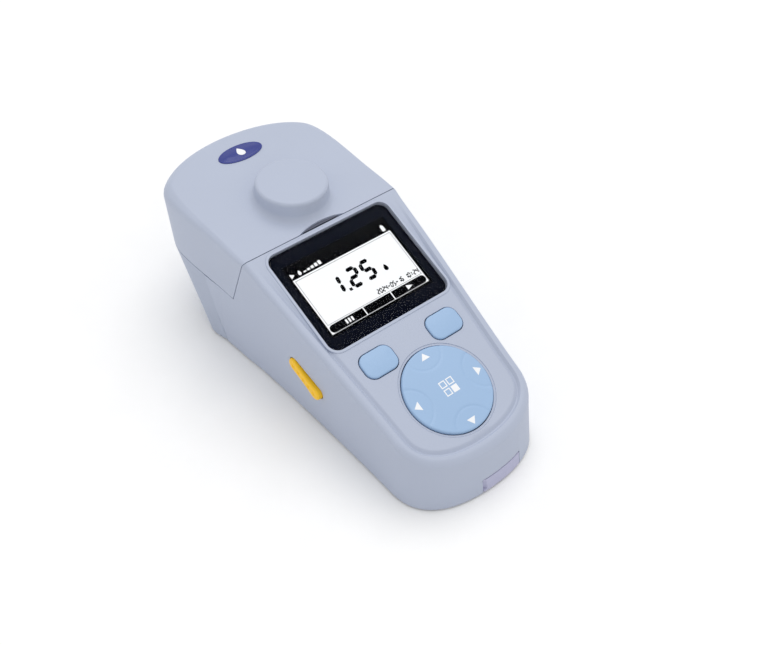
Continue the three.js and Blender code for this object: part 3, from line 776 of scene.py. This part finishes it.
badge_blue = moulded("badge_blue", (0.022, 0.036, 0.235), roughness=0.22, depth=0.000005)
print_white = moulded("print_white", (0.88, 0.89, 0.91), roughness=0.5, depth=0.00001)
# This dark grey is a real print (the open mark) and also painted shade (the sheet in the finger scallop).
print_and_shade_grey = moulded("print_and_shade_grey", (0.10, 0.11, 0.15), roughness=0.6, depth=0.00001)

badge = ringed_solid("badge", badge_rings())
soften(badge, 0)
finished(badge, "oval_badge", "hood", badge_blue, "badge", "lid_badge")
badge_drop = ringed_solid("badge_drop", [
    hood_patch(drop_outline(6.4, BADGE_X, BADGE_Y), 0.6),
    hood_patch(drop_outline(6.4, BADGE_X, BADGE_Y), 0.9),
])
finished(badge_drop, "badge_drop", "hood", print_white, "badge")

# Painted shade: a thin dark grey sheet just under the parting level fills the finger scallop and stands in
# for the shade of its recess.
SHADE_SHEET_TOP = PARTING_Z - 0.5
shade_sheet_outline = circle_outline(SCALLOP_RADIUS + 0.3, 160, 0, SCALLOP_Y)
scallop_shade_sheet = slab("scallop_shade_sheet", shade_sheet_outline, SHADE_SHEET_TOP - 2, SHADE_SHEET_TOP)
cut(scallop_shade_sheet, side_slab("shade_sheet_front", [
    (-FAR, 50),
    (hood_seam_y(50, 0.9), 50),
    (hood_seam_y(90, 0.9), 90),
    (-FAR, 90),
]))
finished(scallop_shade_sheet, "scallop_shade_sheet", "hood", print_and_shade_grey, "black")

MARK_X = -2
MARK_Y = 28.6
chevron = [(-3.6, -0.9), (0, 1.1), (3.6, -0.9), (3.6, -0.1), (0, 1.9), (-3.6, -0.1)]
chevron = [(x + MARK_X, y + MARK_Y) for x, y in chevron]
open_mark = ringed_solid("open_mark", [hood_patch(chevron, -0.05), hood_patch(chevron, 0.03)])
finished(open_mark, "open_mark", "hood", print_and_shade_grey, "black")


# ------------------------------------------------------------------ display
# A colour module behind a clear acrylic window, which is printed blue black round the picture and stuck
# into the panel's pocket. The picture is lit from behind: a reading, the time and three key labels.
WINDOW_BACK = -1.9
PICTURE_LEVEL = -2.3


def lit(name, colour, strength):
    finish = Finish(name, 0.4, ior_level=0.2)
    finish.colour((0.02, 0.02, 0.02))
    glow = finish.noise(60, 1.0)
    shades = finish.between(glow, tint(colour, 0.985), tint(colour, 1.015))
    finish.feed(finish.surface.inputs["Emission Color"], shades)
    finish.surface.inputs["Emission Strength"].default_value = strength
    return finish.material


clear = Finish("clear_acrylic", 0.03, ior_level=0.3)
clear.colour(clear.between(clear.noise(20), (0.004, 0.005, 0.010), (0.006, 0.007, 0.012)))
clear.rough(0.02 + clear.noise(60) * 0.02)
clear.surface.inputs["Alpha"].default_value = 0.07
window_ink = moulded("window_ink", (0.0030, 0.0042, 0.0100), roughness=0.5, depth=0.000004, ior_level=0.0)
picture_white = lit("picture_white", (0.93, 0.95, 0.97), 1.18)
picture_black = moulded("picture_black", (0.0005, 0.0005, 0.0007), 0.5, depth=0.000004, ior_level=0.0)

window_outline = corner_outline(WINDOW_WIDTH - 0.1, WINDOW_HEIGHT - 0.1, WINDOW_RADIUS - 0.05, 12)
window = slab("window", window_outline, WINDOW_BACK, -0.05)
soften(window, 0.2)
finished(on_panel(window), "window_plate", "case", clear.material, "glass", "display_window")

print_outline = corner_outline(WINDOW_WIDTH - 0.3, WINDOW_HEIGHT - 0.3, WINDOW_RADIUS - 0.15, 12)
print_ring = slab("print_ring", print_outline, -2.15, -1.95)
cut(print_ring, slab("print_light", corner_outline(60.6, 41, 0.6, 3), -3, 0))
finished(on_panel(print_ring), "window_print", "case", window_ink, "glass")

module_face = box_block("module_face", (-30.8, -25, -4.45), (30.8, 20.6, PICTURE_LEVEL))
finished(on_panel(module_face), "module_face", "case", picture_black, "screen")


# Puts loose pieces that print as one mark into one mesh.
def one_piece(pieces):
    bpy.ops.object.select_all(action="DESELECT")
    for piece in pieces:
        piece.select_set(True)
    bpy.context.view_layer.objects.active = pieces[0]
    if len(pieces) > 1:
        bpy.ops.object.join()
    return bpy.context.object


# Flat marks on the panel, one slab for each outline, made into one piece.
def marks(name, outlines, low, high):
    return one_piece([slab(name, outline, low, high) for outline in outlines])


def bar(x0, y0, x1, y1):
    return [(x0, y0), (x1, y0), (x1, y1), (x0, y1)]


def frame_bars(x0, y0, x1, y1, line):
    return [
        bar(x0, y0, x1, y0 + line),
        bar(x0, y1 - line, x1, y1),
        bar(x0, y0 + line, x0 + line, y1 - line),
        bar(x1 - line, y0 + line, x1, y1 - line),
    ]


DIGIT_BARS = {
    "0": "abcdef",
    "1": "bc",
    "2": "abged",
    "3": "abgcd",
    "4": "fgbc",
    "5": "afgcd",
    "6": "afgedc",
    "8": "abcdefg",
    "9": "abcdfg",
}


# Seven-bar digits leaning a little to the right; a dot, a colon and a dash take the same cell.
def digit_outlines(text, x, y, width, height, line, pitch, lean=0.1):
    outlines = []
    gap = line * 0.12
    half = line / 2
    middle = height / 2
    ends = {
        "a": ((0, height), (width, height)),
        "b": ((width, middle), (width, height)),
        "c": ((width, 0), (width, middle)),
        "d": ((0, 0), (width, 0)),
        "e": ((0, 0), (0, middle)),
        "f": ((0, middle), (0, height)),
        "g": ((0, middle), (width, middle)),
    }
    for index, sign in enumerate(text):
        shapes = []
        for letter in DIGIT_BARS.get(sign, ""):
            (x0, y0), (x1, y1) = ends[letter]
            if y0 == y1:
                shapes.append([(x0 + gap, y0), (x0 + half, y0 + half), (x1 - half, y0 + half),
                               (x1 - gap, y0), (x1 - half, y0 - half), (x0 + half, y0 - half)])
            else:
                shapes.append([(x0, y0 + gap), (x0 + half, y0 + half), (x0 + half, y1 - half),
                               (x0, y1 - gap), (x0 - half, y1 - half), (x0 - half, y0 + half)])
        if sign == ":":
            shapes = [bar(width / 2 - half, level - half, width / 2 + half, level + half)
                      for level in (height * 0.3, height * 0.7)]
        if sign == "-":
            shapes = [bar(0, middle - half, width, middle + half)]
        left = x + index * pitch
        outlines += [[(left + px + lean * py, y + py) for px, py in shape] for shape in shapes]
    return outlines


FIELD_BOTTOM = -18.9
FIELD_TOP = 12.7
FIELD_SIDE = 28.9
field_outline = bar(-FIELD_SIDE, FIELD_BOTTOM, FIELD_SIDE, FIELD_TOP)
field = marks("field", [field_outline], PICTURE_LEVEL, PICTURE_LEVEL + 0.03)
finished(on_panel(field), "picture_field", "case", picture_white, "screen")

dark_outlines = frame_bars(-28.1, -14.0, 28.1, 11.9, 0.18)
dark_outlines += digit_outlines("1", -15.4, -4.0, 4.9, 9.0, 1.95, 7.8)
dark_outlines += digit_outlines("25", -5.0, -4.0, 4.9, 9.0, 1.95, 8.3)
dark_outlines += [bar(-8.0, -4.8, -6.4, -3.3)]
dark_outlines += digit_outlines("2024-05-16", 2.8, -12.8, 1.0, 2.3, 0.6, 1.6)
dark_outlines += digit_outlines("10:24", 20.0, -12.8, 1.0, 2.3, 0.6, 1.6)
dark_outlines += [drop_outline(3.6, 14.6, -2.6)]
bar_low = -18.7
bar_high = -14.5
bar_middle = (bar_low + bar_high) / 2
bar_round = (bar_high - bar_low) / 2
half_turn = [math.radians(90 + 180 * step / 12) for step in range(13)]
left_label = []
for turn in half_turn:
    left_label.append((-26.4 + bar_round * math.cos(turn), bar_middle + bar_round * math.sin(turn)))
left_label += [(-8.6, bar_low), (-8.6, bar_high)]
dark_outlines += [left_label, [(-x, y) for x, y in reversed(left_label)]]
dark_outlines += [bar(-8.0, bar_low, 8.0, bar_high)]
picture_marks = marks("picture_marks", dark_outlines, PICTURE_LEVEL + 0.03, PICTURE_LEVEL + 0.06)
finished(on_panel(picture_marks), "picture_marks", "case", picture_black, "screen")

light_outlines = [[(-28.6, 13.6), (-26.4, 14.9), (-28.6, 16.2)]]
light_outlines += [drop_outline(2.6, -23.6, 14.9)]
light_outlines += [bar(-21.6 + 2.2 * step, 13.9, -20.1 + 2.2 * step, 14.6 + 0.35 * step) for step in range(5)]
light_outlines += [bar(25.4, 13.6, 27.2, 16.6), bar(25.9, 16.6, 26.7, 17.1)]
light_outlines += [[(17.0, -17.9), (20.4, -16.6), (17.0, -15.3)]]
light_outlines += [bar(-19.6 + 1.7 * step, -17.7, -18.6 + 1.7 * step, -15.5) for step in range(3)]
picture_lights = marks("picture_lights", light_outlines, PICTURE_LEVEL, PICTURE_LEVEL + 0.09)
finished(on_panel(picture_lights), "picture_lights", "case", picture_white, "screen")


# ------------------------------------------------------------------ soft keys and direction pad
# Moulded silicone rubber that comes up through the panel from a mat behind it. The pad has four shallow
# hollows marked off by arcs, with white printed arrows, and tips and presses as one disc.
key_rubber = moulded("key_rubber", (0.330, 0.485, 0.710), 0.42, grain_per_metre=3600, depth=0.00002)


# A key with rounded corners: (how far in, level) from its flange up to its slightly domed top.
def key_rings(profile):
    rings = []
    for inset, level in profile:
        radius = max(0.8, KEY_RADIUS - inset)
        outline = corner_outline(KEY_WIDTH - 2 * inset, KEY_HEIGHT - 2 * inset, radius, 10)
        rings.append(np.column_stack([np.array(outline), np.full(len(outline), level)]))
    return rings


KEY_PROFILE = (
    (-0.9, -5.6), (-0.9, -4.5), (0, -4.5), (0, 0.1), (0.08, 0.45),
    (0.3, 0.72), (0.65, 0.9), (1.2, 1.0), (3, 1.15), (5, 1.2),
)
for word, side in (("left", -1), ("right", 1)):
    soft_key = ringed_solid("soft_key", key_rings(KEY_PROFILE))
    soften(soft_key, 0)
    on_panel(soft_key, side * KEY_X, KEY_SLOPE)
    finished(soft_key, f"{word}_key_cap", f"{word}_key", key_rubber, "key", f"soft_key_{word}")

PAD_TURNS = 240
ARC_CENTRE = 21.3
ARC_RADIUS = 9.9
PAD_EDGE = 0.9
PAD_UNDERSIDE = ((12, -3.5), (12, -6.5), (22.8, -6.5), (22.8, -5.7), (PAD_RADIUS, -5.7), (PAD_RADIUS, -2))


# The pad's top: a rounded rim, a faint dome, and a groove along each arc with the ground inside it lower.
def pad_level(x, y):
    out = np.hypot(x, y)
    level = 1.05 + 0.35 * (1 - (out / PAD_RADIUS) ** 2)
    for arc_x, arc_y in ((0, 1), (0, -1), (1, 0), (-1, 0)):
        reach = np.hypot(x - arc_x * ARC_CENTRE, y - arc_y * ARC_CENTRE) - ARC_RADIUS
        level = level - 0.16 * np.exp(-((reach / 0.5) ** 2))
        level = level - 0.14 / (1 + np.exp(np.clip(reach / 0.45, -30, 30)))
    return level


def pad_rings():
    turns = np.linspace(0, math.tau, PAD_TURNS, endpoint=False)
    ring_x = np.cos(turns)
    ring_y = np.sin(turns)
    rings = []
    for radius, level in PAD_UNDERSIDE:
        rings.append(np.column_stack([radius * ring_x, radius * ring_y, np.full(PAD_TURNS, level)]))
    for step in range(7):
        turn = math.radians(90) * step / 6
        radius = PAD_RADIUS - PAD_EDGE * (1 - math.cos(turn))
        level = pad_level(radius * ring_x, radius * ring_y) - PAD_EDGE * (1 - math.sin(turn))
        rings.append(np.column_stack([radius * ring_x, radius * ring_y, level]))
    for radius in np.linspace(PAD_RADIUS - PAD_EDGE - 0.3, 0.3, 54):
        x = radius * ring_x
        y = radius * ring_y
        rings.append(np.column_stack([x, y, pad_level(x, y)]))
    return rings


pad = ringed_solid("pad", pad_rings())
bpy.ops.object.shade_smooth_by_angle(angle=math.radians(50))
on_panel(pad, 0, PAD_SLOPE)
finished(pad, "direction_pad", "pad", key_rubber, "key", "dpad")


# Printed marks on the pad, turned to one of its four sides and laid on its top.
def pad_mark(outline, quarter_turns=0):
    points = np.array(outline, float)
    for _ in range(quarter_turns):
        points = np.column_stack([-points[:, 1], points[:, 0]])
    ground = pad_level(points[:, 0], points[:, 1])
    low = np.column_stack([points, ground - 0.3])
    high = np.column_stack([points, ground + 0.05])
    return ringed_solid("pad_mark", [low, high])


mark_pieces = [pad_mark([(-2.35, 16.7), (2.35, 16.7), (0, 20.0)], turns) for turns in range(4)]
SQUARE_HALF = 1.7
squares = []
for x, y in ((-1.35, 2.6), (2.85, 2.6), (-1.35, -1.6)):
    squares.append(frame_bars(x - SQUARE_HALF, y - SQUARE_HALF, x + SQUARE_HALF, y + SQUARE_HALF, 0.5))
mark_pieces += [pad_mark(outline) for square in squares for outline in square]
mark_pieces += [pad_mark(bar(1.15, -3.3, 4.55, 0.1))]
pad_print = on_panel(one_piece(mark_pieces), 0, PAD_SLOPE)
finished(pad_print, "pad_print", "pad", print_white, "key")


# ------------------------------------------------------------------ power key
# An orange silicone bar standing in a slot in the left wall, drawn in a little at its waist, with a row of
# small hollows to find it by touch.
POWER_PROFILE = ((0, 35.3), (0, 41.9), (0.12, 42.3), (0.4, 42.65), (0.8, 42.85), (1.5, 42.95))
DIMPLE_RADIUS = 1.35
DIMPLE_LEVEL = 43.7

orange_rubber = moulded("orange_rubber", (1.0, 0.58, 0.010), roughness=0.4, depth=0.00002)


def waisted_outline():
    spots = corner_outline(POWER_LENGTH, POWER_WIDTH, POWER_WIDTH / 2 - 0.01, 12)
    dense = []
    for (x0, y0), (x1, y1) in zip(spots, spots[1:] + spots[:1]):
        steps = max(1, int(math.hypot(x1 - x0, y1 - y0) / 0.8))
        for step in range(steps):
            share = step / steps
            x = x0 + (x1 - x0) * share
            y = y0 + (y1 - y0) * share
            dense.append((x, y * (0.84 + 0.16 * min(1, (x / 9) ** 2))))
    return dense


def power_key_rings():
    rings = []
    outline = np.array(waisted_outline())
    for inset, level in POWER_PROFILE:
        shrink = np.array([1 - 2 * inset / POWER_LENGTH, 1 - 2 * inset / POWER_WIDTH])
        rings.append(np.column_stack([outline * shrink, np.full(len(outline), level)]))
    return rings


def on_left_wall(piece):
    turned = Matrix(((0, 0, -1, 0), (COS, SIN, 0, 0), (SIN, -COS, 0, 0), (0, 0, 0, 1)))
    piece.data.transform(Matrix.Translation((0, POWER_Y, POWER_Z)) @ turned)
    return piece


power_key = ringed_solid("power_key", power_key_rings())
for x in (-8, -4, 0, 4, 8):
    bpy.ops.object.select_all(action="DESELECT")
    place = (x, 0, DIMPLE_LEVEL)
    bpy.ops.mesh.primitive_uv_sphere_add(segments=24, ring_count=12, radius=DIMPLE_RADIUS, location=place)
    dimple = bpy.context.object
    bpy.ops.object.transform_apply(location=True)
    cut(power_key, dimple)
soften(power_key, 0)
finished(on_left_wall(power_key), "power_key_bar", "power_key", orange_rubber, "orange", "power_button")


# ------------------------------------------------------------------ port cover
# A soft lilac rubber flap that closes the charging socket in the front wall, flush with it, with a notch at
# its left end for a fingernail.
flap_rubber = moulded("flap_rubber", (0.47, 0.475, 0.64), roughness=0.6, grain_per_metre=4200)

flap = cut(wall_block("flap", -0.15, BASE_Z + 0.3, PORT_TOP - 0.4), wall_block("flap_back", 1.4, -3, 31))
common(flap, box_block("flap_box", (PORT_LEFT + 0.4, -FAR, -1), (PORT_RIGHT - 0.4, -60, PORT_TOP)))
nail = slab("nail", circle_outline(2.1, 32), 2.2, 12)
nail.data.transform(Matrix.Translation((PORT_LEFT + 0.5, -105.2, 0)))
cut(flap, nail)
soften(flap, 0.25)
plug = box_block("plug", (SOCKET_X - 4.2, -101.6, SOCKET_Z - 1.4), (SOCKET_X + 4.2, -99.6, SOCKET_Z + 1.4))
soften(plug, 0.3)
finished(flap, "port_flap_cover", "port_flap", flap_rubber, "rubber", "port_cover")
finished(plug, "port_flap_plug", "port_flap", flap_rubber, "rubber")


# ------------------------------------------------------------------ battery door, feet and screws
# Underneath are a plastic battery door with grip grooves, held by one screw, four round rubber feet glued in
# their recesses, and four cross-headed steel screws that hold the two halves of the case together.
foot_rubber = moulded("foot_rubber", (0.02, 0.02, 0.022), 0.75, grain_per_metre=3000, depth=0.0001)
screw_steel = metal("screw_steel", (0.5, 0.5, 0.51), 0.32, (30, 30, 1))

door = box_block("door", (-22, -56, BASE_Z), (22, 15, BASE_Z + 2))
for step in range(5):
    y = -40 + 3 * step
    cut(door, box_block("grip", (-8 + 0.6 * step, y, 0), (8 - 0.6 * step, y + 1.2, BASE_Z + 0.6)))
cut(
    door,
    slab("door_screw_recess", circle_outline(2.7, 32, 0, -53), 0, 2.2),
    slab("door_screw_hole", circle_outline(1.5, 24, 0, -53), 0, 5),
)
soften(door, 0.3)
finished(door, "battery_door_cover", "case", base_plastic, "base", "battery_door")

FOOT_PROFILE = ((5, 1.75), (5, 0.5), (4.8, 0.15), (4.4, 0), (3.2, 0), (3.0, 0.12))
for index, (x, y) in enumerate(FEET):
    foot = ringed_solid("foot", turned_rings(FOOT_PROFILE, 48, x, y))
    soften(foot, 0)
    finished(foot, f"rubber_foot_{index + 1}", "case", foot_rubber, "black", f"foot_{index + 1}")


# A pan-headed screw with a cross recess, standing on its head's outer face at level 0.
def cross_screw(head_radius, head_height, length, slot_size):
    shank = 1.2
    profile = (
        (head_radius * 0.7, 0),
        (head_radius * 0.93, head_height * 0.16),
        (head_radius, head_height * 0.5),
        (head_radius, head_height),
        (shank, head_height),
        (shank, head_height + length - 1),
        (shank * 0.4, head_height + length),
    )
    screw = ringed_solid("screw", turned_rings(profile, 32))
    wide = slot_size
    thin = slot_size * 0.26
    cut(
        screw,
        box_block("cross", (-wide, -thin, -1), (wide, thin, head_height * 0.7)),
        box_block("cross", (-thin, -wide, -1), (thin, wide, head_height * 0.7)),
    )
    soften(screw, 0.05)
    return screw


for index, (x, y) in enumerate(CASE_SCREWS):
    screw = cross_screw(2.7, 1.2, 11, 1.5)
    slot_turn = Matrix.Rotation(math.radians(20 + 31 * index), 4, "Z")
    screw.data.transform(Matrix.Translation((x, y, BASE_Z + 0.2)) @ slot_turn)
    finished(screw, f"case_screw_head_{index + 1}", "case", screw_steel, "steel", f"case_screw_{index + 1}")
door_screw = cross_screw(2.3, 1.0, 3.4, 1.3)
door_screw.data.transform(Matrix.Translation((0, -53, BASE_Z + 0.1)) @ Matrix.Rotation(0.3, 4, "Z"))
finished(door_screw, "door_screw_head", "case", screw_steel, "steel", "battery_door_screw")


# ------------------------------------------------------------------ measuring well, seen with the hood open
# A plastic deck closes the optics under the hood, held by two screws; a black collar lines the mouth of the
# well that takes the sample vial. The black block below holds the lamp and the two light sensors.
WELL_RADIUS = 14
WELL_MOUTH = 60
DECK_SCREWS = ((-31, 72), (31, 72))

black_plastic = moulded("black_plastic", (0.012, 0.013, 0.016), roughness=0.5)
pin_steel = metal("pin_steel", (0.56, 0.57, 0.58), 0.28, (1, 30, 30))



# The wall's outline at height z, drawn in by inset, carried straight up or down to another level.
def upright_ring(z, inset, level):
    ring = wall_ring(z, inset)
    ring[:, 2] = level
    return ring


DECK_FOOT = 30
DECK_PROFILE = ((4.2, DECK_FOOT - WELL_MOUTH), (4.2, -1.6), (4.45, -0.8), (5.0, -0.25), (5.8, 0))
deck_rings = [upright_ring(DECK_FOOT, inset, WELL_MOUTH + below) for inset, below in DECK_PROFILE]
deck = ringed_solid("deck", deck_rings)
cut(
    deck,
    ringed_solid("deck_room", [upright_ring(20, 6.4, 20), upright_ring(20, 6.4, WELL_MOUTH - 2.4)]),
    box_block("deck_notch", (-FAR, 0, 0), (FAR, rear_seam_y(UPPER_TOP_Z) + 1, UPPER_TOP_Z + 0.6)),
)
common(deck, side_slab("deck_side", [
    (hood_seam_y(30, 0.8), 30),
    (FAR, 30),
    (FAR, 80),
    (hood_seam_y(80, 0.8), 80),
]))
cut(deck, slab("deck_well", circle_outline(WELL_RADIUS + 0.4, 96, 0, WELL_Y), 40, 80))
for x, y in DECK_SCREWS:
    cut(deck, slab("deck_screw_hole", circle_outline(1.6, 24, x, y), 40, 80))
soften(deck, 0.25)
finished(deck, "deck_plate", "case", base_plastic, "base", "well_deck")

COLLAR_PROFILE = ((17, 60.3), (17, 60.7), (16.7, 61.1), (15.4, 61.35), (14.4, 61.1), (14, 60.7), (13, 60.7))
collar = ringed_solid("collar", turned_rings(COLLAR_PROFILE, 96, 0, WELL_Y))
cut(collar, slab("collar_hole", circle_outline(14.02, 96, 0, WELL_Y), 50, 70))
soften(collar, 0)
finished(collar, "well_mouth_collar", "case", black_plastic, "black", "well_collar")

for index, (x, y) in enumerate(DECK_SCREWS):
    screw = cross_screw(2.8, 1.7, 12, 1.5)
    turned_down = Matrix.Rotation(math.pi, 4, "X") @ Matrix.Rotation(0.5 + index, 4, "Z")
    screw.data.transform(Matrix.Translation((x, y, WELL_MOUTH + 2)) @ turned_down)
    finished(screw, f"deck_screw_head_{index + 1}", "case", screw_steel, "steel", f"deck_screw_{index + 1}")


# ------------------------------------------------------------------ parts kept from the frame
# The boards, battery, optics and seals are out of sight in the closed meter, so they keep the frame's plain
# shapes and only take a proper finish.
board_green = Finish("board_green", 0.4)
copper_areas = board_green.noise(400) > 0.55
board_green.colour(board_green.between(copper_areas, (0.012, 0.115, 0.045), (0.02, 0.15, 0.06)))
board_green.grain(board_green.noise(700), 0.00003)
cell_wrap = moulded("cell_wrap", (0.025, 0.12, 0.39), roughness=0.3, depth=0.000004)
module_grey = moulded("module_grey", (0.42, 0.43, 0.44), roughness=0.4, depth=0.00001)
mat_rubber = moulded("mat_rubber", (0.3, 0.32, 0.38), roughness=0.6)

KEPT_FINISHES = {
    board_green.material: ("main_board", "detector_board", "power_board", "charge_board"),
    cell_wrap: ("battery_pack",),
    module_grey: ("lcd_module", "lcd_backlight"),
    mat_rubber: ("keypad_mat",),
    pin_steel: ("lid_hinge_pin", "lamp_module", "clock_battery", "usb_socket"),
    screw_steel: ("optics_screw_1", "optics_screw_2"),
    black_plastic: (
        "display_gasket", "buzzer", "switch_key_left", "switch_key_right", "dpad_pivot", "dpad_plunger",
        "dpad_guide", "switch_centre", "switch_up", "switch_down", "switch_left", "switch_right", "lid_liner",
        "lid_seal", "optics_block", "transmitted_detector", "scatter_detector", "power_switch",
    ),
}
for material, names in KEPT_FINISHES.items():
    for name in names:
        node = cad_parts[name]
        for material_slot in node.material_slots:
            material_slot.material = material
